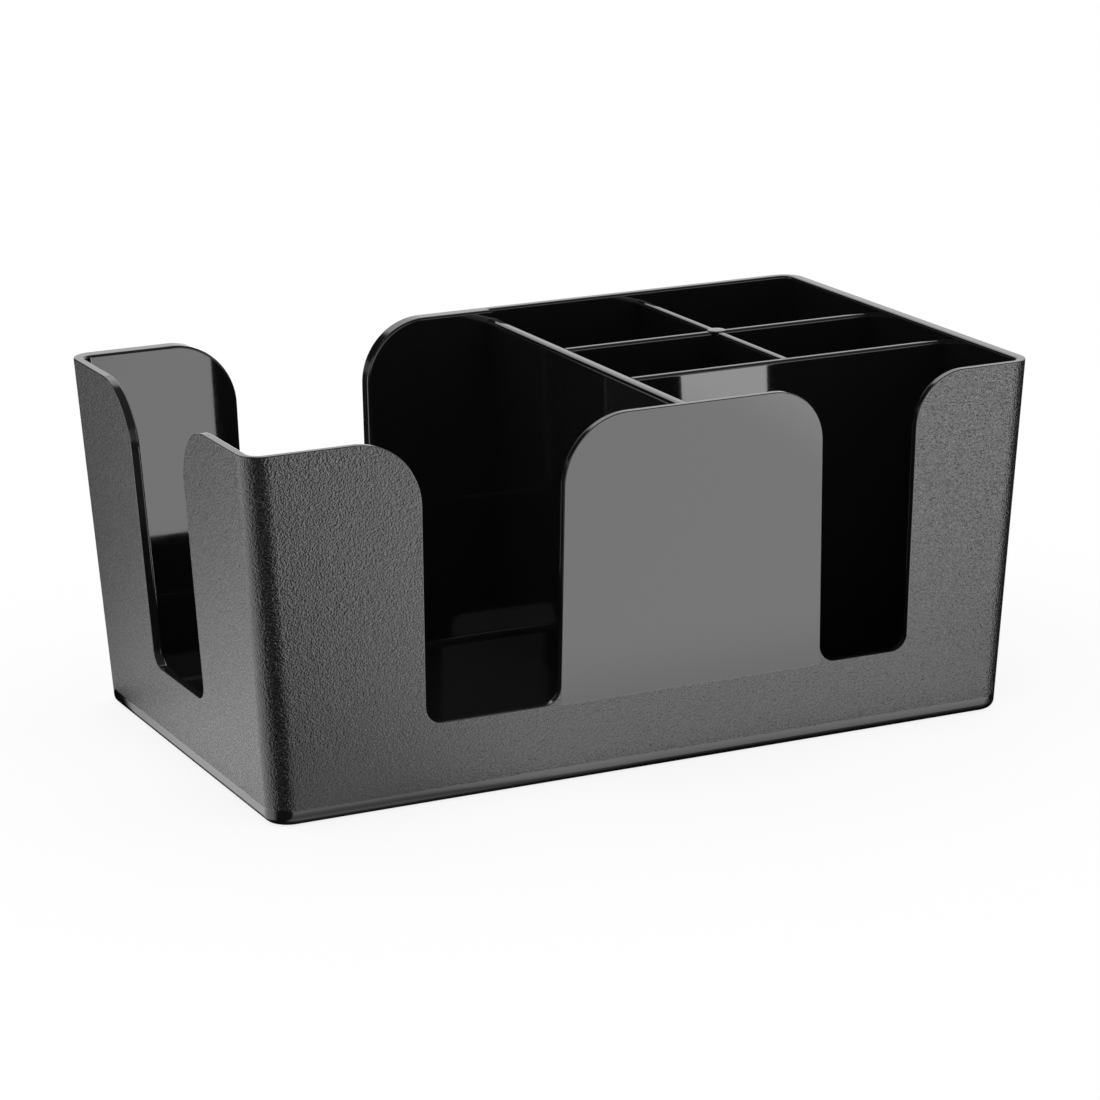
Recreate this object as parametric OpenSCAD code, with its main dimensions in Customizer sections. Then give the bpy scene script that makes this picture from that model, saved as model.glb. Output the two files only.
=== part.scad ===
// Six-compartment bar caddy: a leaning-walled tub with finger slots, a napkin partition and three dividers.
// X runs along the caddy with the napkin bay at the low end, Y from front to rear, and Z up from the table.
// The origin is the middle of the standing rim's underside.

/* [Overall size] */
// Length over the rim
rim_length = 242; // [225:1:280]
// Width over the rim
rim_width = 144; // [132:1:170]
// Height from the table to the rim
caddy_height = 105; // [90:1:130]
// Lean of the two end walls, in degrees off upright
end_lean = 3.45; // [1:0.05:5]
// Lean of the front and rear walls, in degrees off upright
side_lean = 2.5; // [1:0.05:4]
// Radius of the four upright corners
corner_radius = 7; // [3.5:0.5:9]
// Radius of the edge between the walls and the underside
foot_radius = 2.4; // [1.2:0.2:3.2]

/* [Walls and floor] */
// Thickness of the front wall
front_wall = 2.6; // [1.8:0.1:3.6]
// Thickness of the rear wall
rear_wall = 2.9; // [1.8:0.1:3.6]
// Thickness added to the rear wall inside the napkin bay
napkin_pad = 1.9; // [0.6:0.1:3]
// Thickness of the end wall that has the finger slot
slotted_end_wall = 2.9; // [1.8:0.1:4]
// Thickness of the end wall that is closed
closed_end_wall = 3.3; // [2.4:0.1:5]
// Thickness of the floor
floor_thickness = 3; // [2.2:0.1:4]
// Radius inside the upright corners
inner_corner_radius = 3; // [1.5:0.5:6]

/* [Underside] */
// Width of the standing rim round the underside
standing_rim_width = 6; // [4:0.5:12]
// Height of the hollow inside the standing rim
standing_rim_height = 1; // [0.4:0.1:1.4]
// Radius of the corners of that hollow
underside_corner_radius = 4; // [2:0.5:8]

/* [Napkin finger slots] */
// Width of a napkin slot at its bottom
napkin_slot_width = 40.6; // [30:0.2:48]
// Middle of the front and rear napkin slots, from the middle of the caddy
napkin_slot_place = -49.3; // [-56:0.1:-44]
// Middle of the end napkin slot, from the middle of the caddy
end_slot_place = 0; // [-8:0.5:8]
// Radius of the shoulders where a napkin slot opens to the rim
napkin_shoulder_radius = 19.6; // [12:0.2:22]

/* [Straw finger slot] */
// Width of the straw slot at its bottom
straw_slot_width = 28.4; // [20:0.2:34]
// Middle of the straw slot, from the middle of the caddy
straw_slot_place = 67.2; // [62:0.1:74]
// Radius of the shoulders where the straw slot opens to the rim
straw_shoulder_radius = 15.7; // [8:0.2:17]

/* [All finger slots] */
// Height of the slot bottoms above the table
slot_bottom_height = 23.3; // [14:0.1:34]
// Radius of the two corners at the bottom of a slot
slot_corner_radius = 5; // [2:0.2:8]
// Lean of the slot sides, in degrees off upright
slot_side_lean = 0.7; // [0.2:0.1:2]

/* [Partition and dividers] */
// Drop from the rim to the tops of the partition and the dividers
top_drop = 2.7; // [1:0.1:8]
// Thickness of the napkin partition at its top
partition_thickness = 4; // [2.4:0.1:5]
// Middle of the napkin partition, from the middle of the caddy
partition_place = 13.9; // [4:0.1:24]
// Thickness of the dividers at their tops
divider_thickness = 2.7; // [1.8:0.1:3.6]
// Middle of the front long divider, from the middle of the caddy
front_divider_place = -25.4; // [-34:0.1:-18]
// Middle of the rear long divider, from the middle of the caddy
rear_divider_place = 18.3; // [10:0.1:26]
// Middle of the cross divider, from the middle of the caddy
cross_divider_place = 65.6; // [56:0.1:76]
// Lean of the plate faces, in degrees off upright
plate_lean = 0.35; // [0.1:0.05:0.8]
// Radius of the edges along the plate tops
plate_edge_radius = 0.6; // [0.2:0.1:0.8]

/* [Ejector pad] */
// Diameter of the round pad on the crossing of two dividers
pad_diameter = 5.6; // [4.4:0.1:8]
// Depth that the pad reaches down the crossing
pad_depth = 8; // [3:0.5:16]

/* [Hidden] */
$fn = 64;
overrun = 2;
// How far a rounding reaches past the two faces that it blends, so that it crosses them cleanly
blend_reach = 0.002;
plate_top = caddy_height - top_drop;
lap_height = (floor_thickness + plate_top) / 2;
cavity_left = slotted_end_wall - rim_length / 2;
cavity_right = rim_length / 2 - closed_end_wall;
cavity_front = front_wall - rim_width / 2;
cavity_rear = rim_width / 2 - rear_wall;

// How far a wall that leans by this angle has moved in from its place at the rim, at this height
function lean_in(angle, at_height) = (caddy_height - at_height) * tan(angle);

// Upright section of a box whose two sides lean outwards, between their places at rim height
module leaning_section(low, high, bottom, top, lean) {
    polygon([
        [low + lean_in(lean, bottom), bottom],
        [high - lean_in(lean, bottom), bottom],
        [high - lean_in(lean, top), top],
        [low + lean_in(lean, top), top]
    ]);
}

// The same section standing on the table, with its two lower edges rounded
module rounded_foot_section(low, high, top, lean, edge) {
    low_touch = low + lean_in(lean, edge) + edge / cos(lean);
    high_touch = high - lean_in(lean, edge) - edge / cos(lean);
    touch_out = edge * cos(lean);
    touch_height = edge - edge * sin(lean);
    polygon([
        [low_touch - blend_reach, 0],
        [high_touch + blend_reach, 0],
        [high_touch + touch_out, touch_height],
        [high - lean_in(lean, top), top],
        [low + lean_in(lean, top), top],
        [low_touch - touch_out, touch_height]
    ]);
    translate([low_touch - blend_reach, edge])
        circle(r = edge);
    translate([high_touch + blend_reach, edge])
        circle(r = edge);
}

// What is cut off one upright corner to leave a round of this radius that both leaning walls run into.
// The round is a cylinder whose axis leans with the corner, and the cut starts at the chord between
// the two lines where it touches the walls.
module corner_cut(corner_x, corner_y, radius) {
    tilt = atan(norm([tan(end_lean), tan(side_lean)]));
    heading = atan2(tan(side_lean), tan(end_lean));
    end_turn = atan2(
        -cos(end_lean) * sin(heading),
        cos(end_lean) * cos(tilt) * cos(heading) + sin(end_lean) * sin(tilt)
    );
    side_turn = atan2(
        cos(side_lean) * cos(heading),
        cos(side_lean) * cos(tilt) * sin(heading) + sin(side_lean) * sin(tilt)
    );
    translate([corner_x - radius / cos(end_lean), corner_y - radius / cos(side_lean), caddy_height])
        rotate([0, tilt, heading])
            translate([0, 0, -caddy_height - radius - overrun])
                difference() {
                    rotate([0, 0, (end_turn + side_turn) / 2])
                        translate([radius * cos((side_turn - end_turn) / 2), -2 * radius, 0])
                            cube([2 * radius, 4 * radius, caddy_height + 2 * (radius + overrun)]);
                    cylinder(r = radius + 2 * blend_reach, h = caddy_height + 2 * (radius + overrun));
                }
}

// Crosses two upright sections into a box: the first runs from end to end, the second from front to rear.
// The places are those of the four walls at rim height, and the corners between them are rounded.
module crossed_box(left, right, front, rear, corner) {
    difference() {
        intersection() {
            translate([0, rear + overrun, 0])
                rotate([90, 0, 0])
                    linear_extrude(rear - front + 2 * overrun)
                        children(0);
            translate([left - overrun, 0, 0])
                rotate([90, 0, 90])
                    linear_extrude(right - left + 2 * overrun)
                        children(1);
        }
        translate([(left + right) / 2, (front + rear) / 2, 0])
            for (flip_x = [0, 1], flip_y = [0, 1])
                mirror([flip_x, 0, 0])
                    mirror([0, flip_y, 0])
                        corner_cut((right - left) / 2, (rear - front) / 2, corner);
    }
}

// Everything inside the walls, from the floor to above the rim
module cavity() {
    top = caddy_height + overrun;
    difference() {
        crossed_box(cavity_left, cavity_right, cavity_front, cavity_rear, inner_corner_radius) {
            leaning_section(cavity_left, cavity_right, floor_thickness, top, end_lean);
            leaning_section(cavity_front, cavity_rear, floor_thickness, top, side_lean);
        }
        napkin_pad_block();
    }
}

// Extra thickness of the rear wall, from the slotted end to the middle of the napkin partition
module napkin_pad_block() {
    top = caddy_height + 2 * overrun;
    face_low = cavity_rear - napkin_pad - lean_in(side_lean, 0);
    face_high = cavity_rear - napkin_pad - lean_in(side_lean, top);
    depth = napkin_pad + rear_wall / 2;
    translate([-rim_length / 2, 0, 0])
        rotate([90, 0, 90])
            linear_extrude(rim_length / 2 + partition_place)
                polygon([
                    [face_low, 0],
                    [face_low + depth, 0],
                    [face_high + depth, top],
                    [face_high, top]
                ]);
}

// Outline of a finger slot, measured down from the rim: slightly leaning sides between two bottom corners
// and two round shoulders
module slot_outline(width, shoulder) {
    depth = caddy_height - slot_bottom_height;
    side_low = width / 2;
    side_high = side_low + (depth - slot_corner_radius - shoulder) * tan(slot_side_lean);
    difference() {
        polygon([
            [side_high, -shoulder],
            [side_high + shoulder, -shoulder],
            [side_high + shoulder, overrun],
            [-side_high - shoulder, overrun],
            [-side_high - shoulder, -shoulder],
            [-side_high, -shoulder],
            [-side_low, slot_corner_radius - depth],
            [slot_corner_radius - side_low, -depth],
            [side_low - slot_corner_radius, -depth],
            [side_low, slot_corner_radius - depth]
        ]);
        for (side = [-1, 1])
            translate([side * side_high, 0])
                translate([side * shoulder, -shoulder])
                    circle(r = shoulder, $fn = 2 * $fn);
    }
    for (side = [-1, 1])
        translate([side * (side_low - slot_corner_radius), slot_corner_radius - depth])
            circle(r = slot_corner_radius);
}

// One cut makes the front and the rear napkin slots, as they face each other
module napkin_slots() {
    translate([napkin_slot_place, rim_width / 2 + overrun, caddy_height])
        rotate([90, 0, 0])
            linear_extrude(rim_width + 2 * overrun)
                slot_outline(napkin_slot_width, napkin_shoulder_radius);
}

module end_slot() {
    translate([-rim_length / 2 - overrun, end_slot_place, caddy_height])
        rotate([90, 0, 90])
            linear_extrude(rim_length / 4)
                slot_outline(napkin_slot_width, napkin_shoulder_radius);
}

module straw_slot() {
    translate([straw_slot_place, -rim_width / 4, caddy_height])
        rotate([90, 0, 0])
            linear_extrude(rim_width / 4 + overrun)
                slot_outline(straw_slot_width, straw_shoulder_radius);
}

// Shallow hollow under the floor, which leaves the tub standing on a rim
module underside_hollow() {
    half_length = rim_length / 2 - lean_in(end_lean, 0) - standing_rim_width;
    half_width = rim_width / 2 - lean_in(side_lean, 0) - standing_rim_width;
    translate([0, 0, -overrun])
        linear_extrude(overrun + standing_rim_height)
            union() {
                square([2 * half_length, 2 * (half_width - underside_corner_radius)], center = true);
                square([2 * (half_length - underside_corner_radius), 2 * half_width], center = true);
                for (side_x = [-1, 1], side_y = [-1, 1])
                    translate([
                        side_x * (half_length - underside_corner_radius),
                        side_y * (half_width - underside_corner_radius)
                    ])
                        circle(r = underside_corner_radius);
            }
}

module caddy_tub() {
    color([0.13, 0.13, 0.13])
        difference() {
            crossed_box(-rim_length / 2, rim_length / 2, -rim_width / 2, rim_width / 2, corner_radius) {
                rounded_foot_section(-rim_length / 2, rim_length / 2, caddy_height, end_lean, foot_radius);
                rounded_foot_section(-rim_width / 2, rim_width / 2, caddy_height, side_lean, foot_radius);
            }
            cavity();
            napkin_slots();
            end_slot();
            straw_slot();
            underside_hollow();
        }
}

// Cross-section of a moulded plate, measured down from its top: thicker towards the floor, with its two
// top edges rounded
module plate_section(thickness) {
    half_low = thickness / 2 + plate_top * tan(plate_lean);
    edge_centre = thickness / 2 - plate_edge_radius;
    polygon([
        [-half_low, -plate_top],
        [half_low, -plate_top],
        [thickness / 2, -plate_edge_radius],
        [edge_centre, 0],
        [-edge_centre, 0],
        [-thickness / 2, -plate_edge_radius]
    ]);
    for (side = [-1, 1])
        translate([side * edge_centre, -plate_edge_radius])
            circle(r = plate_edge_radius);
}

// The same plate as a sharp block that runs above the rim, for cutting what butts against its faces
module plate_block_section(thickness) {
    top = caddy_height + 2 * overrun - plate_top;
    half_low = thickness / 2 + plate_top * tan(plate_lean);
    half_high = thickness / 2 - top * tan(plate_lean);
    polygon([[-half_low, -plate_top], [half_low, -plate_top], [half_high, top], [-half_high, top]]);
}

// Stands a plate section across the caddy, from front to rear
module across(place) {
    translate([place, rim_width / 2, plate_top])
        rotate([90, 0, 0])
            linear_extrude(rim_width)
                children();
}

// Stands a plate section along the caddy, from the napkin partition to the closed end
module along(place) {
    translate([partition_place, place, plate_top])
        rotate([90, 0, 90])
            linear_extrude(rim_length / 2 - partition_place)
                children();
}

module partition_block() {
    across(partition_place)
        plate_block_section(partition_thickness);
}

// The ejector pad's column, from the plate tops down the crossing
module pad_column(top) {
    translate([cross_divider_place, rear_divider_place, plate_top - pad_depth])
        cylinder(d = pad_diameter, h = pad_depth + top);
}

module napkin_partition() {
    color([0.12, 0.12, 0.12])
        intersection() {
            across(partition_place)
                plate_section(partition_thickness);
            cavity();
        }
}

module front_long_divider() {
    color([0.2, 0.2, 0.2])
        difference() {
            intersection() {
                along(front_divider_place)
                    plate_section(divider_thickness);
                cavity();
            }
            partition_block();
        }
}

// The two crossing dividers are halved into each other: this one keeps the lower half of the crossing
module rear_long_divider() {
    color([0.2, 0.2, 0.2])
        difference() {
            intersection() {
                along(rear_divider_place)
                    plate_section(divider_thickness);
                cavity();
            }
            partition_block();
            intersection() {
                across(cross_divider_place)
                    plate_block_section(divider_thickness);
                translate([cross_divider_place, 0, lap_height + caddy_height / 2])
                    cube([rim_width / 2, rim_width, caddy_height], center = true);
            }
            pad_column(overrun);
        }
}

// This one runs on over the crossing and carries the round pad
module cross_divider() {
    color([0.26, 0.26, 0.26])
        difference() {
            union() {
                intersection() {
                    across(cross_divider_place)
                        plate_section(divider_thickness);
                    cavity();
                }
                pad_column(0);
            }
            along(front_divider_place)
                plate_block_section(divider_thickness);
            translate([cross_divider_place, front_divider_place - rim_width / 2, caddy_height / 2])
                cube([rim_width / 2, rim_width, 2 * caddy_height], center = true);
            intersection() {
                along(rear_divider_place)
                    plate_block_section(divider_thickness);
                translate([cross_divider_place, 0, lap_height - caddy_height / 2])
                    cube([rim_width / 2, rim_width, caddy_height], center = true);
            }
        }
}

caddy_tub();
napkin_partition();
front_long_divider();
rear_long_divider();
cross_divider();
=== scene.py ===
"""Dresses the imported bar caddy: a black moulded tub with finger slots, and four plates inside it.

All sizes are in metres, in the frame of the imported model: X runs along the caddy with the napkin
bay at the low end, Y from front to rear, Z up from the table, and the origin is the middle of the
standing rim.
"""

import logging
import math
from collections.abc import Callable
from dataclasses import dataclass
from enum import Enum, IntEnum

import bmesh
import bpy
from mathutils import Euler, Matrix, Vector

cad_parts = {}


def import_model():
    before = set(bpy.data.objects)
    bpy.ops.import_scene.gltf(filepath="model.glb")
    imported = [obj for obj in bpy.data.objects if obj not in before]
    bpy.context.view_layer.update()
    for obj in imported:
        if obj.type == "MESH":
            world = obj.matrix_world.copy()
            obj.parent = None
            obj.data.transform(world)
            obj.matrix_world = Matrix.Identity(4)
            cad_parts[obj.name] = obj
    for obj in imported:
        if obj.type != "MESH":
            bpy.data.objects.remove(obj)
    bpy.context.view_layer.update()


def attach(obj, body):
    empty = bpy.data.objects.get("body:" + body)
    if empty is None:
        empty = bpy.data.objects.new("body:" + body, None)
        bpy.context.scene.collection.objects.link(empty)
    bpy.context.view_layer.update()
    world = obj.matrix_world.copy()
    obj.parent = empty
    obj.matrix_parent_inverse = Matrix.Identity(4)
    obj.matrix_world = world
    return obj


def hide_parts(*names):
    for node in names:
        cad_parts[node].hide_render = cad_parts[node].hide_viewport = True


log = logging.getLogger("bar_caddy")

MM = 0.001

# Places closer than this are one place, and a face looks in a direction when the cosine between
# the direction and its normal is more than this.
NEAR = MM / 20
FACING = 0.99

# Two faces that turn by less than the first angle lie in one plane, by less than the second belong
# to one rounding, and by more than the third meet at a square edge.
FLAT = math.radians(0.05)
SMOOTH = math.radians(40)
SHARP = 0.5

Place = tuple[float, float, float]
Colour = tuple[float, float, float, float]
Socket = bpy.types.NodeSocket
Value = Socket | float
Edge = bmesh.types.BMEdge
Test = Callable[[bmesh.types.BMVert | bmesh.types.BMEdge | bmesh.types.BMFace], bool]


class Surface(IntEnum):
    """Which finish a face of the tub takes, as its material slot."""

    OUTSIDE = 0
    INSIDE = 1
    EDGE = 2
    UNDER = 3


class Run(Enum):
    """Which way a wall or plate runs in the caddy."""

    ALONG = "along"
    ACROSS = "across"


def isolate(piece: bpy.types.Object) -> None:
    """Makes one object the only selected one, and the active one.

    Args:
        piece: The object that the next operators act on.
    """
    if bpy.context.mode != "OBJECT":
        bpy.ops.object.mode_set(mode="OBJECT")
    bpy.ops.object.select_all(action="DESELECT")
    piece.select_set(True)
    bpy.context.view_layer.objects.active = piece


def add_block(name: str, low: Place, high: Place) -> bpy.types.Object:
    """Adds a block between two corners, with its place in its mesh.

    Args:
        name: Name of the new object.
        low: Lowest corner.
        high: Highest corner.

    Returns:
        The block, at the origin.
    """
    bpy.ops.object.select_all(action="DESELECT")
    size = [b - a for a, b in zip(low, high)]
    middle = [(a + b) / 2 for a, b in zip(low, high)]
    bpy.ops.mesh.primitive_cube_add(size=1, location=middle, scale=size)
    piece = bpy.context.object
    piece.name = piece.data.name = name
    bpy.ops.object.transform_apply(location=True, rotation=True, scale=True)
    return piece


def seat(piece: bpy.types.Object, turn: float, place: Place) -> None:
    """Turns a piece about Z, then moves it, and keeps both in its mesh.

    Args:
        piece: The piece, at the origin.
        turn: The turn, in degrees.
        place: Where its origin goes.
    """
    isolate(piece)
    piece.rotation_euler = (0, 0, math.radians(turn))
    piece.location = place
    bpy.ops.object.transform_apply(location=True, rotation=True, scale=True)


def pick(piece: bpy.types.Object, kind: str, wanted: Test) -> int:
    """Goes into edit mode and selects the vertices, edges or faces that a test accepts.

    Args:
        piece: The object to edit.
        kind: VERT, EDGE or FACE.
        wanted: The test, given a bmesh vertex, edge or face.

    Returns:
        How many were selected.
    """
    isolate(piece)
    bpy.ops.object.mode_set(mode="EDIT")
    bpy.ops.mesh.select_mode(type=kind)
    bpy.ops.mesh.select_all(action="DESELECT")
    shape = bmesh.from_edit_mesh(piece.data)
    parts = {"VERT": shape.verts, "EDGE": shape.edges, "FACE": shape.faces}[kind]
    chosen = [part for part in parts if wanted(part)]
    for part in chosen:
        part.select_set(True)
    shape.select_flush_mode()
    bmesh.update_edit_mesh(piece.data)
    return len(chosen)


def leave() -> None:
    """Goes back to object mode."""
    bpy.ops.object.mode_set(mode="OBJECT")


def shift(piece: bpy.types.Object, move: Place, wanted: Test) -> None:
    """Moves the vertices that a test accepts.

    Args:
        piece: The object to edit.
        move: How far they move.
        wanted: The test, given a bmesh vertex.
    """
    pick(piece, "VERT", wanted)
    bpy.ops.transform.translate(value=move)
    leave()


def push_out(piece: bpy.types.Object, move: Place, wanted: Test) -> None:
    """Extrudes the faces that a test accepts.

    Args:
        piece: The object to edit.
        move: How far they move.
        wanted: The test, given a bmesh face.
    """
    pick(piece, "FACE", wanted)
    bpy.ops.mesh.extrude_region_move(TRANSFORM_OT_translate={"value": move})
    leave()


def draw_in_foot(piece: bpy.types.Object, along: float, across: float) -> None:
    """Moves the lowest vertices of a block towards its middle, so that its sides lean outwards.

    Args:
        piece: The block.
        along: How far the two ends move in, on X.
        across: How far the two long sides move in, on Y.
    """
    foot = min(v.co.z for v in piece.data.vertices) + NEAR
    for axis, inwards in enumerate((along, across)):
        places = [v.co[axis] for v in piece.data.vertices]
        middle = (min(places) + max(places)) / 2
        for side in (-1, 1):
            move = [0.0, 0.0, 0.0]
            move[axis] = -side * inwards
            shift(
                piece,
                tuple(move),
                lambda v, a=axis, m=middle, s=side: v.co.z < foot and s * (v.co[a] - m) > 0,
            )


def round_edges(
    piece: bpy.types.Object, wanted: Test, width: float, facets: int, surface: int = -1
) -> int:
    """Rounds the edges that a test accepts.

    Args:
        piece: The object to edit.
        wanted: The test, given a bmesh edge.
        width: How far the rounding reaches from the edge on each face.
        facets: Number of facets over the rounding.
        surface: Material slot of the new faces, or -1 for that of their neighbours.

    Returns:
        How many edges were rounded.
    """
    count = pick(piece, "EDGE", wanted)
    if count:
        bpy.ops.mesh.bevel(
            offset=width,
            offset_type="OFFSET",
            segments=facets,
            profile=0.5,
            affect="EDGES",
            clamp_overlap=False,
            material=surface,
        )
    leave()
    return count


def join_flat_faces(piece: bpy.types.Object) -> None:
    """Joins neighbouring faces that lie in one plane.

    Args:
        piece: The object to edit.
    """
    pick(piece, "FACE", lambda f: True)
    bpy.ops.mesh.dissolve_limited(angle_limit=FLAT)
    leave()


def is_upright(edge: Edge, least: float) -> bool:
    """Says whether an edge rises by more than a given height."""
    return abs(edge.verts[0].co.z - edge.verts[1].co.z) > least


def is_square(edge: Edge) -> bool:
    """Says whether the two faces at an edge meet at a square edge."""
    return len(edge.link_faces) == 2 and edge.calc_face_angle() > SHARP


def lies_at(edge: Edge, height: float) -> bool:
    """Says whether both ends of an edge are at one height."""
    return all(abs(v.co.z - height) < NEAR for v in edge.verts)


def is_off_middle(edge: Edge, distance: float) -> bool:
    """Says whether both ends of an edge are at one distance from the middle, on X."""
    return all(abs(abs(v.co.x) - distance) < NEAR for v in edge.verts)


def cut_away(piece: bpy.types.Object, cutter: bpy.types.Object, surface: int) -> None:
    """Cuts one solid out of another and gives the new faces a material slot.

    Args:
        piece: The solid that stays.
        cutter: The solid that is cut out of it and then removed.
        surface: Material slot of the cut faces.
    """
    for face in cutter.data.polygons:
        face.material_index = surface
    isolate(piece)
    bpy.ops.object.modifier_add(type="BOOLEAN")
    cut = piece.modifiers[-1]
    cut.operation = "DIFFERENCE"
    cut.solver = "EXACT"
    cut.material_mode = "INDEX"
    cut.object = cutter
    bpy.ops.object.modifier_apply(modifier=cut.name)
    bpy.data.objects.remove(cutter)


def settle_shading(piece: bpy.types.Object) -> None:
    """Shades a piece smooth over its roundings, with flat faces flat and square edges sharp.

    Args:
        piece: The finished solid.
    """
    isolate(piece)
    bpy.ops.object.shade_smooth_by_angle(angle=SMOOTH)
    bpy.ops.object.modifier_add(type="WEIGHTED_NORMAL")
    weighting = piece.modifiers[-1]
    weighting.keep_sharp = True
    bpy.ops.object.modifier_apply(modifier=weighting.name)


@dataclass(frozen=True)
class Step:
    """A smooth step: where it begins, where it is complete, and its results before and after."""

    start: float
    end: float
    low: float = 0.0
    high: float = 1.0


@dataclass(frozen=True)
class Noise:
    """A noise: real size of its features, number and strength of finer layers, and distortion."""

    size: float
    layers: float
    strength: float = 0.5
    warp: float = 0.0


class NodeSheet:
    """The node tree of one material or world, with short ways to add and join nodes."""

    def __init__(self, owner: bpy.types.Material | bpy.types.World) -> None:
        """Empties the owner's node tree and keeps it.

        Args:
            owner: The material or world.
        """
        owner.use_nodes = True
        self.tree = owner.node_tree
        self.tree.nodes.clear()

    def add(self, kind: str, **settings: object) -> bpy.types.Node:
        """Adds a node.

        Args:
            kind: The node's type.
            settings: Properties of the node to set.

        Returns:
            The node.
        """
        node = self.tree.nodes.new(kind)
        for name, value in settings.items():
            setattr(node, name, value)
        return node

    def join(self, source: Value, target: Socket) -> None:
        """Feeds a socket from another socket or from a number.

        Args:
            source: An output socket, or a plain value.
            target: The input socket.
        """
        if isinstance(source, Socket):
            self.tree.links.new(source, target)
        else:
            target.default_value = source

    def calc(self, operation: str, *terms: Value) -> Socket:
        """Adds a Math node.

        Args:
            operation: Its operation.
            terms: Its values or sockets, as many as the operation takes.

        Returns:
            Its output.
        """
        node = self.add("ShaderNodeMath", operation=operation)
        for source, target in zip(terms, node.inputs):
            self.join(source, target)
        return node.outputs[0]

    def product(self, first: Value, *others: Value) -> Value:
        """Multiplies values one after the other.

        Args:
            first: The first value.
            others: The values that it is multiplied by.

        Returns:
            The product.
        """
        for other in others:
            first = self.calc("MULTIPLY", first, other)
        return first

    def ramp(self, value: Value, start: Value, end: Value, low: Value, high: Value) -> Socket:
        """Adds a smooth step whose ends and results may be sockets.

        Args:
            value: What the step follows.
            start: Where it begins.
            end: Where it is complete.
            low: Result up to the start.
            high: Result past the end.

        Returns:
            Its output.
        """
        node = self.add("ShaderNodeMapRange", interpolation_type="SMOOTHSTEP")
        names = ("Value", "From Min", "From Max", "To Min", "To Max")
        for source, name in zip((value, start, end, low, high), names):
            self.join(source, node.inputs[name])
        return node.outputs["Result"]

    def step(
        self, value: Value, step: Step, low: Value | None = None, high: Value | None = None
    ) -> Socket:
        """Adds a smooth step.

        Args:
            value: What the step follows.
            step: The step.
            low: Result up to the start, in place of the step's own.
            high: Result past the end, in place of the step's own.

        Returns:
            Its output.
        """
        before = step.low if low is None else low
        after = step.high if high is None else high
        return self.ramp(value, step.start, step.end, before, after)

    def blend(self, share: Value, low: Value, high: Value) -> Socket:
        """Blends from one value, where a mask is 0, to another, where it is 1."""
        return self.ramp(share, 0.0, 1.0, low, high)

    def axes(self, place: Socket) -> tuple[Socket, Socket, Socket]:
        """Splits a place into its X, Y and Z.

        Args:
            place: The place.

        Returns:
            The three numbers.
        """
        node = self.add("ShaderNodeSeparateXYZ")
        self.join(place, node.inputs[0])
        return tuple(node.outputs)

    def noise(self, place: Socket, noise: Noise) -> Socket:
        """Adds a noise.

        Args:
            place: Where it is read.
            noise: The noise.

        Returns:
            Its value, from 0 to 1.
        """
        node = self.add("ShaderNodeTexNoise")
        self.join(place, node.inputs["Vector"])
        node.inputs["Scale"].default_value = 1 / noise.size
        node.inputs["Detail"].default_value = noise.layers
        node.inputs["Roughness"].default_value = noise.strength
        node.inputs["Distortion"].default_value = noise.warp
        return node.outputs["Fac"]

    def mix(self, share: Value, first: bpy.types.Node, second: bpy.types.Node) -> bpy.types.Node:
        """Adds a mix of two shaders.

        Args:
            share: The second one's share.
            first: The first shader.
            second: The second shader.

        Returns:
            The mix.
        """
        node = self.add("ShaderNodeMixShader")
        for source, target in zip((share, first.outputs[0], second.outputs[0]), node.inputs):
            self.join(source, target)
        return node

    def show(self, kind: str, shader: bpy.types.Node) -> None:
        """Adds the output node and feeds its surface from a shader.

        Args:
            kind: The output node's type.
            shader: The shader.
        """
        self.join(shader.outputs[0], self.add(kind).inputs["Surface"])


@dataclass(frozen=True, kw_only=True)
class BlackPlastic:
    """What the finishes share: a black plastic, whose surface each of them describes."""

    name: str
    colour: Colour = (0.0050, 0.0052, 0.0055, 1.0)
    refraction: float = 1.57
    relief: float = 1.0

    def make(self) -> bpy.types.Material:
        """Builds the material.

        Returns:
            The material.
        """
        material = bpy.data.materials.new(self.name)
        sheet = NodeSheet(material)
        place = sheet.add("ShaderNodeTexCoord").outputs["Object"]
        roughness, height = self._surface(sheet, place)
        plastic = sheet.add("ShaderNodeBsdfPrincipled")
        plastic.inputs["Base Color"].default_value = self.colour
        plastic.inputs["IOR"].default_value = self.refraction
        sheet.join(roughness, plastic.inputs["Roughness"])
        bump = sheet.add("ShaderNodeBump")
        bump.inputs["Distance"].default_value = self.relief
        sheet.join(height, bump.inputs["Height"])
        sheet.join(bump.outputs["Normal"], plastic.inputs["Normal"])
        sheet.show("ShaderNodeOutputMaterial", plastic)
        return material

    def _surface(self, sheet: NodeSheet, place: Socket) -> tuple[Socket, Socket]:
        """Adds the roughness, and the height as a share of the relief."""
        raise NotImplementedError


@dataclass(frozen=True, kw_only=True)
class SmoothPlastic(BlackPlastic):
    """Black plastic from a polished mould: glossy, with a faint cloudiness."""

    relief: float = 0.00001
    roughness: float
    unevenness: float = 0.01
    clouds: Noise = Noise(0.012, 3, 0.6)
    cloud_edge: Step = Step(0.3, 0.7)
    ripples: Noise = Noise(0.02, 1)

    def _surface(self, sheet: NodeSheet, place: Socket) -> tuple[Socket, Socket]:
        """Adds the cloudy roughness and the faint ripples.

        Args:
            sheet: The node tree.
            place: Where they are read.

        Returns:
            The roughness and the height.
        """
        least, most = self.roughness - self.unevenness, self.roughness + self.unevenness
        cloudy = sheet.step(sheet.noise(place, self.clouds), self.cloud_edge, least, most)
        return cloudy, sheet.noise(place, self.ripples)


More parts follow.
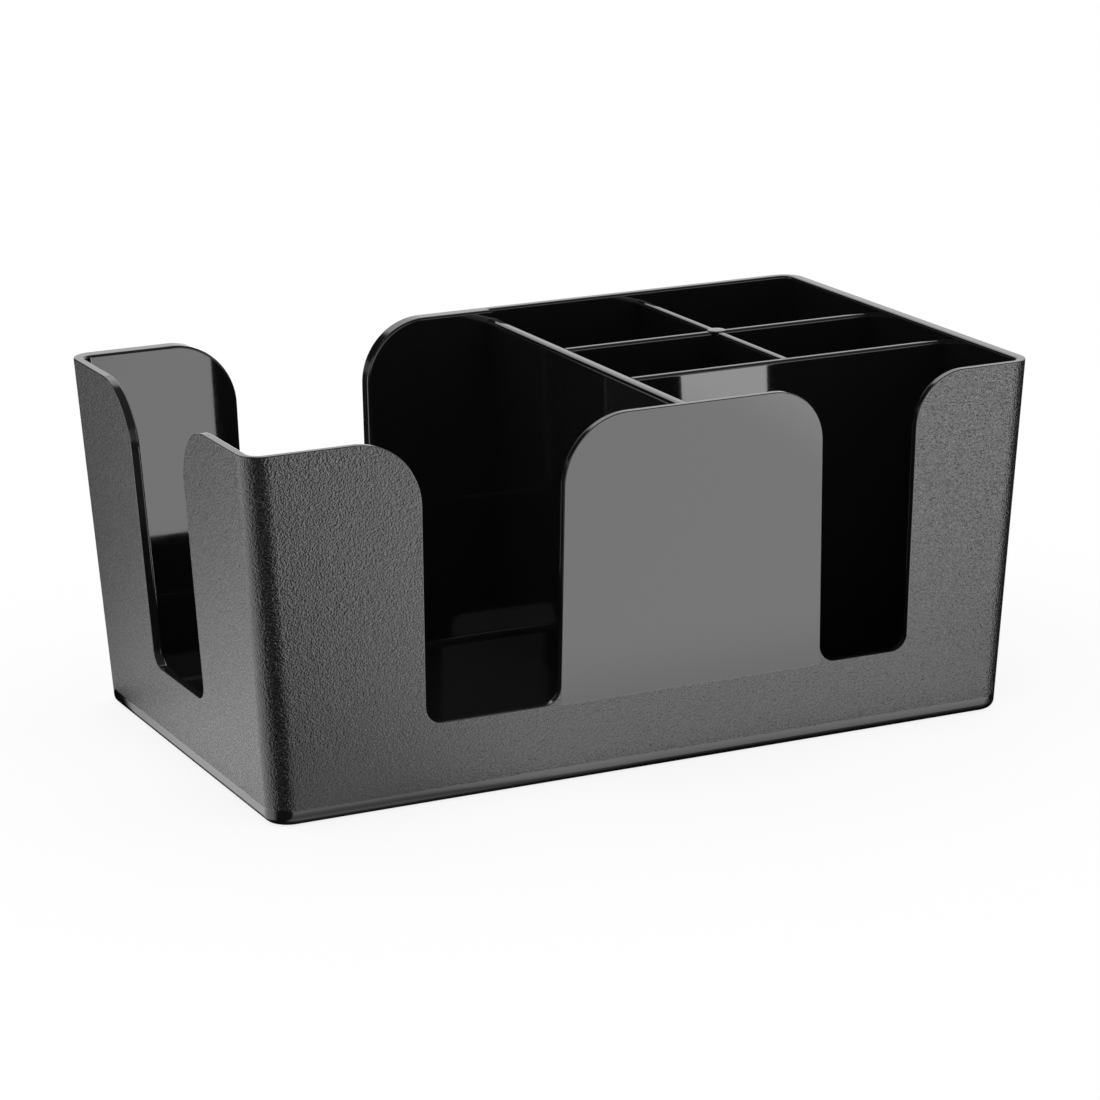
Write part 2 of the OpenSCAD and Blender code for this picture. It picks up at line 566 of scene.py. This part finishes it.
@dataclass(frozen=True, kw_only=True)
class GrainedPlastic(BlackPlastic):
    """Black plastic with a leather grain, which is left off a smooth panel and a foot band."""

    colour: Colour = (0.0045, 0.0047, 0.0050, 1.0)
    panel_left: float
    panel_right: float
    panel_foot: float
    band_top: float
    border: float = 0.0004
    front_side: Step = Step(-0.05, -0.04, 1.0, 0.0)
    smooth_roughness: float = 0.09
    cell_roughness: Step = Step(0.20, 0.55, 0.12, 0.36)
    cell_size: float = 0.00057
    cell_blur: float = 0.4
    cell_height: float = 0.00015
    worms: Noise = Noise(0.000741, 1, 0.5, 1.2)
    folds: Noise = Noise(0.0024, 2, 0.55, 0.8)
    fold_height: float = 0.00010

    def _surface(self, sheet: NodeSheet, place: Socket) -> tuple[Socket, Socket]:
        """Adds the grain: small rounded cells, rougher between them, over wider folds.

        Args:
            sheet: The node tree.
            place: Where it is read.

        Returns:
            The roughness and the height.
        """
        cells = sheet.add("ShaderNodeTexVoronoi", feature="SMOOTH_F1")
        cells.inputs["Scale"].default_value = 1 / self.cell_size
        cells.inputs["Smoothness"].default_value = self.cell_blur
        sheet.join(place, cells.inputs["Vector"])
        depth = cells.outputs["Distance"]
        grained = self._grained_area(sheet, place)
        rough = sheet.step(depth, self.cell_roughness)
        roughness = sheet.blend(grained, self.smooth_roughness, rough)
        fine = sheet.calc("MULTIPLY_ADD", depth, -1.0, sheet.noise(place, self.worms))
        low = sheet.product(fine, self.cell_height)
        folds = sheet.noise(place, self.folds)
        height = sheet.calc("MULTIPLY_ADD", folds, self.fold_height, low)
        return roughness, sheet.product(height, grained)

    def _grained_area(self, sheet: NodeSheet, place: Socket) -> Socket:
        """Adds the mask that is 1 on the grain and 0 on the smooth panel and the foot band.

        Args:
            sheet: The node tree.
            place: Where it is read.

        Returns:
            The mask.
        """
        x, y, z = sheet.axes(place)
        right_of = sheet.step(x, self._border(self.panel_left))
        left_of = sheet.step(x, self._border(self.panel_right), 1.0, 0.0)
        above = sheet.step(z, self._border(self.panel_foot))
        front = sheet.step(y, self.front_side)
        panel = sheet.product(right_of, left_of, above, front)
        clear = sheet.calc("SUBTRACT", 1.0, panel)
        return sheet.product(clear, sheet.step(z, self._border(self.band_top)))

    def _border(self, place: float) -> Step:
        """Gives the narrow step over a border of the grain."""
        return Step(place - self.border, place + self.border)


@dataclass
class FingerSlot:
    """The cutter of a finger slot: nearly upright sides, two bottom corners, round shoulders."""

    name: str
    width: float
    shoulder: float
    bottom: float
    rim: float
    place: float
    start: float
    end: float
    run: Run
    corner: float = 0.005
    side_lean: float = math.radians(0.7)
    clear: float = 0.00001
    overrun: float = 0.004
    side_overrun: float = 0.002
    shoulder_facets: int = 24
    corner_facets: int = 8

    def build(self) -> bpy.types.Object:
        """Builds the cutter.

        Returns:
            The cutter, standing across the wall or walls that it cuts.
        """
        top = self.rim + self.clear
        half = self.width / 2
        spread = (top - self.bottom) * math.tan(self.side_lean)
        wide = half + spread
        cutter = add_block(self.name, (-wide, self.start, self.bottom), (wide, self.end, top))
        draw_in_foot(cutter, spread, 0)
        push_out(cutter, (0, 0, self.overrun), lambda f: f.normal.z > FACING)
        for side in (-1, 1):
            push_out(
                cutter,
                (side * (self.shoulder + self.side_overrun), 0, 0),
                lambda f, s=side: f.normal.x * s > FACING and f.calc_center_median().z > top + MM,
            )
        join_flat_faces(cutter)
        blend = math.tan((math.pi / 2 - self.side_lean) / 2)
        for height, apart, radius, facets in (
            (top, wide, self.shoulder, self.shoulder_facets),
            (self.bottom, half, self.corner, self.corner_facets),
        ):
            round_edges(
                cutter,
                lambda e, h=height, a=apart: lies_at(e, h) and is_off_middle(e, a),
                radius * blend,
                facets,
            )
        if self.run is Run.ACROSS:
            seat(cutter, -90, (0, self.place, 0))
        else:
            seat(cutter, 0, (self.place, 0, 0))
        return cutter


@dataclass
class Tub:
    """The moulded tub: leaning walls, a floor on a standing rim, and the finger slots."""

    length: float = 0.242
    width: float = 0.144
    height: float = 0.105
    end_lean: float = math.radians(3.45)
    side_lean: float = math.radians(2.5)
    corner: float = 0.007
    corner_facets: int = 10
    foot: float = 0.00228
    foot_facets: int = 6
    front_wall: float = 0.0026
    rear_wall: float = 0.0029
    napkin_pad: float = 0.0019
    slotted_end: float = 0.0029
    closed_end: float = 0.0033
    floor: float = 0.003
    inner_corner: float = 0.003
    inner_facets: int = 6
    end_reach: float = 0.02
    floor_fillet: float = 0.0015
    fillet_facets: int = 4
    partition_place: float = 0.0139
    standing_rim: float = 0.006
    hollow: float = 0.001
    hollow_corner: float = 0.004
    slot_bottom: float = 0.0233
    napkin_slot: float = 0.0406
    napkin_slot_place: float = -0.0493
    napkin_shoulder: float = 0.0196
    straw_slot: float = 0.0284
    straw_slot_place: float = 0.0672
    straw_shoulder: float = 0.0157
    outer_edge: float = 0.0003
    outer_edge_facets: int = 4
    inner_edge: float = 0.0008
    inner_edge_facets: int = 6
    under_edge_facets: int = 3
    overrun: float = 0.002

    def build(self) -> bpy.types.Object:
        """Builds the tub.

        Returns:
            The tub, without its finishes.
        """
        tub = self._shell()
        for surface in Surface:
            tub.data.materials.append(bpy.data.materials.new(surface.name))
        cut_away(tub, self._cavity(), Surface.INSIDE)
        for slot in self._slots():
            cut_away(tub, slot.build(), Surface.EDGE)
        cut_away(tub, self._underside(), Surface.UNDER)
        self._mark_rim(tub)
        self._soften(tub)
        settle_shading(tub)
        return tub

    def dress(
        self, tub: bpy.types.Object, outside: BlackPlastic, inside: BlackPlastic, edge: BlackPlastic
    ) -> None:
        """Gives the tub its finishes.

        Args:
            tub: The tub.
            outside: Finish of the outside.
            inside: Finish of the inside and the underside.
            edge: Finish of the rim and the slot edges.
        """
        inner = inside.make()
        finishes = {
            Surface.OUTSIDE: outside.make(),
            Surface.INSIDE: inner,
            Surface.EDGE: edge.make(),
            Surface.UNDER: inner,
        }
        for surface, material in finishes.items():
            spare = tub.data.materials[surface]
            tub.data.materials[surface] = material
            bpy.data.materials.remove(spare)

    def _shell(self) -> bpy.types.Object:
        """Builds the solid outer form, with its corners and foot rounded.

        Returns:
            The form.
        """
        half_x, half_y = self.length / 2, self.width / 2
        low, high = (-half_x, -half_y, 0), (half_x, half_y, self.height)
        shell = add_block("caddy_tub_moulding", low, high)
        self._draw_in(shell, self.height)
        round_edges(
            shell, lambda e: is_upright(e, self.height / 2), self.corner, self.corner_facets
        )
        round_edges(shell, lambda e: lies_at(e, 0), self.foot, self.foot_facets)
        return shell

    def _draw_in(self, piece: bpy.types.Object, deep: float) -> None:
        """Leans the sides of a block of a given height as the walls lean."""
        draw_in_foot(piece, deep * math.tan(self.end_lean), deep * math.tan(self.side_lean))

    def _cavity(self) -> bpy.types.Object:
        """Builds the space inside the walls, with the napkin bay's thicker rear wall.

        Returns:
            The cutter.
        """
        top = self.height + self.overrun
        out_x = self.overrun * math.tan(self.end_lean)
        out_y = self.overrun * math.tan(self.side_lean)
        left = self.slotted_end - self.length / 2 - out_x
        right = self.length / 2 - self.closed_end + out_x
        front = self.front_wall - self.width / 2 - out_y
        rear = self.width / 2 - self.rear_wall - self.napkin_pad + out_y
        cavity = add_block("cavity", (left, front, self.floor), (right, rear, top))
        deep = top - self.floor
        self._draw_in(cavity, deep)
        split = self.partition_place
        pick(cavity, "FACE", lambda f: True)
        bpy.ops.mesh.bisect(plane_co=(split, 0, 0), plane_no=(1, 0, 0))
        leave()
        push_out(
            cavity,
            (0, self.napkin_pad, 0),
            lambda f: f.normal.y > FACING and f.calc_center_median().x > split,
        )
        join_flat_faces(cavity)
        ends = self.length / 2 - self.end_reach
        round_edges(
            cavity,
            lambda e: is_upright(e, deep / 2)
            and is_square(e)
            and all(abs(v.co.x) > ends for v in e.verts),
            self.inner_corner,
            self.inner_facets,
        )
        round_edges(
            cavity,
            lambda e: lies_at(e, self.floor) and is_square(e),
            self.floor_fillet,
            self.fillet_facets,
        )
        return cavity

    def _slots(self) -> list[FingerSlot]:
        """Lists the cutters of the finger slots.

        Returns:
            One cutter for the front and rear napkin slots, one for the end and one for the straws.
        """
        common = {"bottom": self.slot_bottom, "rim": self.height}
        napkin = {"width": self.napkin_slot, "shoulder": self.napkin_shoulder, **common}
        straw = {"width": self.straw_slot, "shoulder": self.straw_shoulder, **common}
        front = -self.width / 2 - self.overrun
        along = {"start": front, "run": Run.ALONG}
        across = {"start": -self.length / 2 - self.overrun, "run": Run.ACROSS}
        return [
            FingerSlot("napkin_slots", place=self.napkin_slot_place, end=-front, **along, **napkin),
            FingerSlot("end_slot", place=0.0, end=-self.length / 4, **across, **napkin),
            FingerSlot(
                "straw_slot", place=self.straw_slot_place, end=-self.width / 4, **along, **straw
            ),
        ]

    def _underside(self) -> bpy.types.Object:
        """Builds the shallow hollow under the floor.

        Returns:
            The cutter.
        """
        half_x = self.length / 2 - self.height * math.tan(self.end_lean) - self.standing_rim
        half_y = self.width / 2 - self.height * math.tan(self.side_lean) - self.standing_rim
        hollow = add_block(
            "underside", (-half_x, -half_y, -self.overrun), (half_x, half_y, self.hollow)
        )
        round_edges(
            hollow, lambda e: is_upright(e, self.overrun), self.hollow_corner, self.inner_facets
        )
        return hollow

    def _mark_rim(self, tub: bpy.types.Object) -> None:
        """Gives the flat rim faces the finish of the edges.

        Args:
            tub: The tub.
        """
        for face in tub.data.polygons:
            if face.normal.z > FACING and face.center.z > self.height - NEAR:
                face.material_index = Surface.EDGE

    def _soften(self, tub: bpy.types.Object) -> None:
        """Rounds the edges where the rim, the slots and the underside meet the walls.

        Args:
            tub: The tub.
        """
        for first, second, width, facets in (
            (Surface.OUTSIDE, Surface.EDGE, self.outer_edge, self.outer_edge_facets),
            (Surface.INSIDE, Surface.EDGE, self.inner_edge, self.inner_edge_facets),
            (Surface.OUTSIDE, Surface.UNDER, self.outer_edge, self.under_edge_facets),
        ):
            count = round_edges(
                tub,
                lambda e, p={first, second}: {f.material_index for f in e.link_faces} == p,
                width,
                facets,
                Surface.EDGE,
            )
            log.info("tub: %d edges softened, %s to %s", count, first.name, second.name)


@dataclass
class Plate:
    """One upright plate inside the tub, thicker towards the floor, with its top edges rounded.

    Its start and end are given at the height of its top, and lean as the walls there do.
    """

    node: str
    run: Run
    place: float
    start: float
    end: float
    start_lean: float
    end_lean: float
    thickness: float
    side_lean: float
    top: float
    top_edge: float = 0.0010
    edge_facets: int = 6
    foot: float = 0.003
    sink: float = 0.0004

    def build(self) -> bpy.types.Object:
        """Builds the plate.

        Returns:
            The plate.
        """
        half = self.thickness / 2
        deep = self.top - self.foot
        low = (self.start, -half, self.foot - self.sink)
        plate = add_block(f"{self.node}_plate", low, (self.end, half, self.top))
        draw_in_foot(plate, 0, -deep * math.tan(self.side_lean))
        middle = (self.start + self.end) / 2
        for side, lean in ((-1, self.start_lean), (1, self.end_lean)):
            shift(
                plate,
                (-side * deep * math.tan(lean), 0, 0),
                lambda v, s=side: v.co.z < self.foot and s * (v.co.x - middle) > 0,
            )
        round_edges(
            plate,
            lambda e: lies_at(e, self.top) and abs(e.verts[0].co.x - e.verts[1].co.x) > MM,
            self.top_edge,
            self.edge_facets,
        )
        if self.run is Run.ACROSS:
            seat(plate, 90, (self.place, 0, 0))
        else:
            seat(plate, 0, (0, self.place, 0))
        return plate


@dataclass
class EjectorPad:
    """The round pad on the crossing of two dividers, left by the mould's ejector."""

    x: float
    y: float
    top: float
    radius: float = 0.0028
    facets: int = 48
    depth: float = 0.008
    proud: float = 0.0003
    dish: float = 0.00008
    border: float = 0.0028 / 3
    edge: float = 0.0003
    edge_facets: int = 3

    def build(self) -> bpy.types.Object:
        """Builds the pad.

        Returns:
            The pad, as a loose object to be joined to a divider.
        """
        bpy.ops.object.select_all(action="DESELECT")
        high = self.top + self.proud
        middle = (self.x, self.y, high - self.depth / 2)
        bpy.ops.mesh.primitive_cylinder_add(
            vertices=self.facets, radius=self.radius, depth=self.depth, location=middle
        )
        pad = bpy.context.object
        pad.name = "ejector_pad"
        bpy.ops.object.transform_apply(location=True, rotation=True, scale=True)
        round_edges(pad, lambda e: lies_at(e, high), self.edge, self.edge_facets)
        pick(pad, "FACE", lambda f: f.normal.z > FACING)
        bpy.ops.mesh.inset(thickness=self.border, depth=-self.dish)
        leave()
        return pad


@dataclass
class DividerGrid:
    """The napkin partition and the three dividers, with the ejector pad on one crossing."""

    tub: Tub
    partition_thickness: float = 0.004
    partition_edge: float = 0.0014
    divider_thickness: float = 0.0027
    lean: float = math.radians(0.35)
    top: float = 0.1023
    front_place: float = -0.0254
    rear_place: float = 0.0183
    cross_place: float = 0.0656
    sunk: float = 0.0004
    lap: float = 0.0006

    def build(self) -> dict[str, bpy.types.Object]:
        """Builds the four plates.

        Returns:
            The plates, by the CAD node that each stands for.
        """
        pieces = {plate.node: plate.build() for plate in self._plates()}
        pad = EjectorPad(self.cross_place, self.rear_place, self.top).build()
        isolate(pieces["cross_divider"])
        pad.select_set(True)
        bpy.ops.object.join()
        for piece in pieces.values():
            settle_shading(piece)
        return pieces

    def dress(self, pieces: dict[str, bpy.types.Object], finish: BlackPlastic) -> None:
        """Gives the plates their finish.

        Args:
            pieces: The plates.
            finish: The finish.
        """
        material = finish.make()
        for piece in pieces.values():
            piece.data.materials.clear()
            piece.data.materials.append(material)

    def _plates(self) -> list[Plate]:
        """Lists the plates.

        Returns:
            The partition, the two long dividers and the cross divider.
        """
        tub = self.tub
        drop = tub.height - self.top
        front = tub.front_wall - tub.width / 2 + drop * math.tan(tub.side_lean) - self.sunk
        rear = tub.width / 2 - tub.rear_wall - drop * math.tan(tub.side_lean) + self.sunk
        closed = tub.length / 2 - tub.closed_end - drop * math.tan(tub.end_lean) + self.sunk
        after = tub.partition_place + self.partition_thickness / 2 - self.lap
        behind = self.front_place + self.divider_thickness / 2 - self.lap
        common = {"side_lean": self.lean, "top": self.top}
        divider = {"thickness": self.divider_thickness, "start_lean": -self.lean, **common}
        long = {"run": Run.ALONG, "start": after, "end": closed, "end_lean": tub.end_lean}
        across = {"run": Run.ACROSS, "end": rear, "end_lean": tub.side_lean}
        return [
            Plate(
                "napkin_partition",
                place=tub.partition_place,
                start=front,
                start_lean=tub.side_lean,
                thickness=self.partition_thickness,
                top_edge=self.partition_edge,
                **across,
                **common,
            ),
            Plate("front_long_divider", place=self.front_place, **long, **divider),
            Plate("rear_long_divider", place=self.rear_place, **long, **divider),
            Plate("cross_divider", place=self.cross_place, start=behind, **across, **divider),
        ]


@dataclass(frozen=True)
class Flag:
    """A dark wedge of floor that leads away from a front corner of the caddy.

    The heading is the direction of its middle. The wedge sets in between the two angles of `begins`
    and stops between those of `ends`, counted from its middle. All are in degrees.
    """

    corner: tuple[float, float]
    heading: float
    begins: tuple[float, float]
    ends: tuple[float, float]

    def light_left(self, sheet: NodeSheet, x: Socket, y: Socket) -> Socket:
        """Adds the share of the floor's light that the flag leaves.

        Args:
            sheet: The floor's node tree.
            x: Place along the caddy.
            y: Place from front to rear.

        Returns:
            The share.
        """
        away_x = sheet.calc("SUBTRACT", x, self.corner[0])
        away_y = sheet.calc("SUBTRACT", y, self.corner[1])
        turn = math.radians(self.heading)
        cosine, sine = math.cos(turn), math.sin(turn)
        along = sheet.calc("MULTIPLY_ADD", away_x, cosine, sheet.product(away_y, sine))
        across = sheet.calc("MULTIPLY_ADD", away_y, cosine, sheet.product(away_x, -sine))
        angle = sheet.calc("ARCTAN2", across, along)
        begun = sheet.step(angle, Step(*(math.radians(a) for a in self.begins)))
        going = sheet.step(angle, Step(*(math.radians(a) for a in self.ends), 1.0, 0.0))
        return sheet.calc("SUBTRACT", 1.0, sheet.product(begun, going))


@dataclass
class PaleFloor:
    """The floor: white to the camera with the object's soft shadow, and patches of light to gloss.

    The steps far_light, foot_gain and left_shade follow the distance from the front foot, dark_edge
    the distance out from any foot, left_lights a slanted one, and the others a place on X or Y.
    """

    half_size: float = 3.0
    drop: float = 0.00005
    paper: Colour = (0.9, 0.9, 0.9, 1.0)
    shadow_share: float = 0.16
    foot_x: float = 0.1145
    foot_y: float = 0.0672
    left_flag: Flag = Flag((-0.1127, -0.0646), -107, (-84, -44), (29, 41))
    right_flag: Flag = Flag((0.1127, -0.0646), 8, (-48, -37), (50, 60))
    least: float = 0.02
    front_side: Step = Step(-0.0872, -0.0572, 1.0, 0.0)
    dark_edge: Step = Step(0.0, 0.0022)
    dark_front: float = 0.25
    dark_rear_shift: Step = Step(0.045, 0.075, 0.0, 0.005)
    near_least: Step = Step(-0.08, 0.0, 0.17, 0.612)
    near_begins: Step = Step(-0.08, 0.0, 0.0060, 0.0026)
    near_rise: float = 0.0030
    near_light: float = 2.312
    far_light: Step = Step(0.01, 0.10, 0.0, 1.088)
    right_gain: Step = Step(0.165, 0.25, 1.0, 1.57)
    foot_gain: Step = Step(0.010, 0.017, 1.45, 1.0)
    left_shade: Step = Step(0.09, 0.17, 0.55, 1.0)
    left_part: Step = Step(-0.08, -0.02)
    left_slant: float = 2.0
    left_offset: float = 0.177
    left_lights: tuple[Step, ...] = (
        Step(-0.35, -0.07, 0.6, 0.0),
        Step(-0.07, 0.06, 1.05, 0.0),
        Step(0.06, 0.12, 0.45, 0.0),
    )
    rear_light: Step = Step(-0.06, -0.03, 0.0, 2.5)
    rear_side: Step = Step(0.0572, 0.0772)

    def build(self) -> None:
        """Lays the floor."""
        bpy.ops.object.select_all(action="DESELECT")
        bpy.ops.mesh.primitive_plane_add(size=2 * self.half_size, location=(0, 0, -self.drop))
        floor = bpy.context.object
        floor.name = "floor"
        bpy.ops.object.transform_apply(location=True, rotation=True, scale=True)
        material = bpy.data.materials.new("pale_floor")
        sheet = NodeSheet(material)
        path = sheet.add("ShaderNodeLightPath")
        paper = sheet.add("ShaderNodeBsdfDiffuse")
        paper.inputs["Color"].default_value = self.paper
        white = sheet.add("ShaderNodeEmission")
        share = sheet.product(path.outputs["Is Camera Ray"], 1 - self.shadow_share)
        seen = sheet.mix(share, paper, white)
        bounce = sheet.add("ShaderNodeEmission")
        sheet.join(self._bounce(sheet), bounce.inputs["Strength"])
        mixed = sheet.mix(path.outputs["Is Glossy Ray"], seen, bounce)
        sheet.show("ShaderNodeOutputMaterial", mixed)
        floor.data.materials.append(material)

    def _bounce(self, sheet: NodeSheet) -> Socket:
        """Adds how brightly each place of the floor shows in the plastic.

        The floor in front and the floor behind have their own light. Two dark flags lead away from
        the front corners. Nothing shines under the caddy, apart from a little at its front edge,
        and the dark reaches further out at the rear.

        Args:
            sheet: The floor's node tree.

        Returns:
            The strength.
        """
        x, y, _ = sheet.axes(sheet.add("ShaderNodeTexCoord").outputs["Object"])
        is_front = sheet.step(y, self.front_side)
        light = sheet.blend(is_front, self._behind(sheet, x, y), self._ahead(sheet, x, y))
        left = self.left_flag.light_left(sheet, x, y)
        right = self.right_flag.light_left(sheet, x, y)
        open_floor = sheet.product(light, sheet.product(left, right))
        kept = sheet.calc("MAXIMUM", open_floor, self.least)
        out_x = sheet.calc("SUBTRACT", sheet.calc("ABSOLUTE", x), self.foot_x)
        out_y = sheet.calc("SUBTRACT", sheet.calc("ABSOLUTE", y), self.foot_y)
        out = sheet.calc("MAXIMUM", out_x, out_y)
        out = sheet.calc("SUBTRACT", out, sheet.step(y, self.dark_rear_shift))
        under = sheet.blend(is_front, 0.0, self.dark_front)
        return sheet.product(kept, sheet.step(out, self.dark_edge, low=under))

    def _ahead(self, sheet: NodeSheet, x: Socket, y: Socket) -> Socket:
        """Adds the light of the floor in front.

        It is weak at the foot, rises within a few millimetres, is strongest just after that, and
        rises again slowly further out. The left part is dimmer near the caddy, and the far right is
        stronger.

        Args:
            sheet: The floor's node tree.
            x: Place along the caddy.
            y: Place from front to rear.

        Returns:
            The strength.
        """
        away = sheet.calc("SUBTRACT", -self.foot_y, y)
        least = sheet.step(x, self.near_least)
        begins = sheet.step(x, self.near_begins)
        risen = sheet.calc("ADD", begins, self.near_rise)
        near = sheet.ramp(away, begins, risen, least, self.near_light)
        light = sheet.calc("ADD", near, sheet.step(away, self.far_light))
        light = sheet.product(light, sheet.step(x, self.right_gain))
        light = sheet.product(light, sheet.step(away, self.foot_gain))
        shade = sheet.step(x, self.left_part, low=sheet.step(away, self.left_shade))
        return sheet.product(light, shade)

    def _behind(self, sheet: NodeSheet, x: Socket, y: Socket) -> Socket:
        """Adds the light of the floor at the ends and behind.

        It fades from the slotted end towards the rear left, and is strong behind the other
        compartments.

        Args:
            sheet: The floor's node tree.
            x: Place along the caddy.
            y: Place from front to rear.

        Returns:
            The strength.
        """
        shifted = sheet.calc("ADD", y, self.left_offset)
        fade = sheet.calc("MULTIPLY_ADD", x, self.left_slant, shifted)
        far, middle, near = (sheet.step(fade, light) for light in self.left_lights)
        left = sheet.calc("ADD", sheet.calc("ADD", far, middle), near)
        rear = sheet.product(sheet.step(x, self.rear_light), sheet.step(y, self.rear_side))
        return sheet.calc("MAXIMUM", left, rear)


@dataclass
class Surroundings:
    """The surroundings: white to the camera, an even light to the floor, and a studio to gloss.

    The steps follow a direction's X, Y and Z, from -1 to 1.
    """

    soft_light: float = 0.98
    right_light: Step = Step(0.42, 0.55, 1.2, 1.9)
    overhead: Step = Step(0.88, 0.95, high=0.24)
    calm_light: Step = Step(0.70, 0.80, 1.2, 0.30)
    right_side: Step = Step(-0.16, -0.06)
    screen_left: Step = Step(-0.42, -0.34)
    screen_front: Step = Step(0.0, 0.2)
    screen_foot: Step = Step(0.08, 0.14)
    screen_top: Step = Step(0.60, 0.66, 1.0, 0.0)
    front_light: float = 0.16
    lamp_light: float = 1.6
    lamp_foot: Step = Step(0.06, 0.12)
    lamp_top: Step = Step(0.44, 0.50, 1.0, 0.0)
    lamp_rear: Step = Step(-0.75, -0.60, 1.0, 0.0)
    gap_left: Step = Step(0.27, 0.29, 1.0, 0.0)
    gap_right: Step = Step(0.355, 0.375)
    rear_begins: Step = Step(0.45, 0.65, -0.30, 0.35)
    rear_rise: float = 0.20

    def build(self) -> None:
        """Makes the surroundings."""
        world = bpy.data.worlds.new("surroundings")
        bpy.context.scene.world = world
        sheet = NodeSheet(world)
        path = sheet.add("ShaderNodeLightPath")
        gloss, soft, white = (sheet.add("ShaderNodeBackground") for _ in range(3))
        for background in (gloss, soft, white):
            background.inputs["Color"].default_value = (1, 1, 1, 1)
        soft.inputs["Strength"].default_value = self.soft_light
        sheet.join(self._sky(sheet), gloss.inputs["Strength"])
        first = sheet.mix(path.outputs["Is Glossy Ray"], soft, gloss)
        last = sheet.mix(path.outputs["Is Camera Ray"], first, white)
        sheet.show("ShaderNodeOutputWorld", last)

    def _sky(self, sheet: NodeSheet) -> Socket:
        """Adds how brightly each direction shows in the plastic.

        The rear is bright at the right, brighter higher up and dim overhead, and calmer at the
        left, with a dark screen. The front is dim, apart from a low band of lamps with a gap, and
        reaches further back the higher it is.

        Args:
            sheet: The world's node tree.

        Returns:
            The strength.
        """
        x, y, z = sheet.axes(sheet.add("ShaderNodeTexCoord").outputs["Generated"])
        right = sheet.step(z, self.overhead, low=sheet.step(z, self.right_light))
        screen = sheet.product(
            sheet.step(sheet.calc("ADD", x, z), self.screen_left),
            sheet.step(y, self.screen_front),
            sheet.step(z, self.screen_foot),
            sheet.step(z, self.screen_top),
        )
        left = sheet.blend(screen, sheet.step(y, self.calm_light), 0.0)
        rear = sheet.step(x, self.right_side, left, right)
        gap = sheet.calc("ADD", sheet.step(x, self.gap_left), sheet.step(x, self.gap_right))
        lamp = sheet.product(
            sheet.step(z, self.lamp_foot),
            sheet.step(z, self.lamp_top),
            sheet.step(y, self.lamp_rear),
            gap,
        )
        front = sheet.blend(lamp, self.front_light, self.lamp_light)
        begins = sheet.step(z, self.rear_begins)
        complete = sheet.calc("ADD", begins, self.rear_rise)
        return sheet.ramp(y, begins, complete, front, rear)


@dataclass
class SoftSun:
    """One very soft sun over the caddy, for the shadow on the floor."""

    place: Place = (-0.35, -0.25, 1.7)
    strength: float = 0.5
    spread: float = math.radians(60)

    def build(self) -> None:
        """Hangs the sun, turned towards the origin and unseen in the plastic."""
        lamp = bpy.data.lights.new("soft_sun", "SUN")
        lamp.energy = self.strength
        lamp.angle = self.spread
        holder = bpy.data.objects.new("soft_sun", lamp)
        holder.location = self.place
        holder.rotation_euler = Vector(self.place).to_track_quat("Z", "Y").to_euler()
        holder.visible_glossy = False
        bpy.context.scene.collection.objects.link(holder)


@dataclass
class PhotoCamera:
    """The camera where the photograph was taken from, with its angles in degrees.

    The frame, the focal length and the place of the axis are in pixels of the photograph.
    """

    place: Place = (-0.47882, -1.02020, 0.35832)
    azimuth: float = -25.035
    elevation: float = 15.445
    roll: float = -0.942
    frame: float = 1100
    focal: float = 3983.98
    axis: tuple[float, float] = (541.04, 550.34)
    sensor: float = 36
    nearest: float = 0.01

    def build(self) -> None:
        """Sets up the camera and looks through it."""
        lens = bpy.data.cameras.new("photo_camera")
        lens.sensor_width = self.sensor
        lens.lens = self.sensor * self.focal / self.frame
        lens.shift_x = (self.frame / 2 - self.axis[0]) / self.frame
        lens.shift_y = (self.axis[1] - self.frame / 2) / self.frame
        lens.clip_start = self.nearest
        camera = bpy.data.objects.new("photo_camera", lens)
        turn = Euler((math.radians(90 - self.elevation), 0, math.radians(self.azimuth)))
        rolled = turn.to_matrix() @ Matrix.Rotation(math.radians(self.roll), 3, "Z")
        camera.rotation_euler = rolled.to_euler()
        camera.location = self.place
        bpy.context.scene.collection.objects.link(camera)
        bpy.context.scene.camera = camera


def build_studio() -> None:
    """Builds the floor, the surroundings, the sun and the camera."""
    for part in (PaleFloor(), Surroundings(), SoftSun(), PhotoCamera()):
        part.build()
        log.info("studio: %s is in place", type(part).__name__)
    bpy.context.scene.view_settings.view_transform = "Standard"


def hand_over(piece: bpy.types.Object, node: str) -> None:
    """Lets a finished piece stand for its CAD node and logs what it holds.

    Args:
        piece: The finished piece.
        node: The CAD node that it replaces.
    """
    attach(piece, "root")
    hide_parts(node)
    log.info("%s: %d faces, stands for %s", piece.name, len(piece.data.polygons), node)


def main() -> None:
    """Builds and dresses the caddy in its studio."""
    logging.basicConfig(level=logging.INFO, format="%(name)s %(message)s")
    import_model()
    tub = Tub()
    shell = tub.build()
    grained = GrainedPlastic(
        name="grained_outer_plastic",
        panel_left=-0.0287,
        panel_right=0.0529,
        panel_foot=0.0227,
        band_top=0.0046,
    )
    inside = SmoothPlastic(name="polished_inner_plastic", roughness=0.035)
    edge = SmoothPlastic(name="polished_edge_plastic", roughness=0.12, unevenness=0.02)
    tub.dress(shell, grained, inside, edge)
    hand_over(shell, "caddy_tub")
    grid = DividerGrid(tub)
    plates = grid.build()
    grid.dress(plates, SmoothPlastic(name="polished_divider_plastic", roughness=0.045))
    for node, plate in plates.items():
        hand_over(plate, node)
    build_studio()


if __name__ == "__main__":
    main()
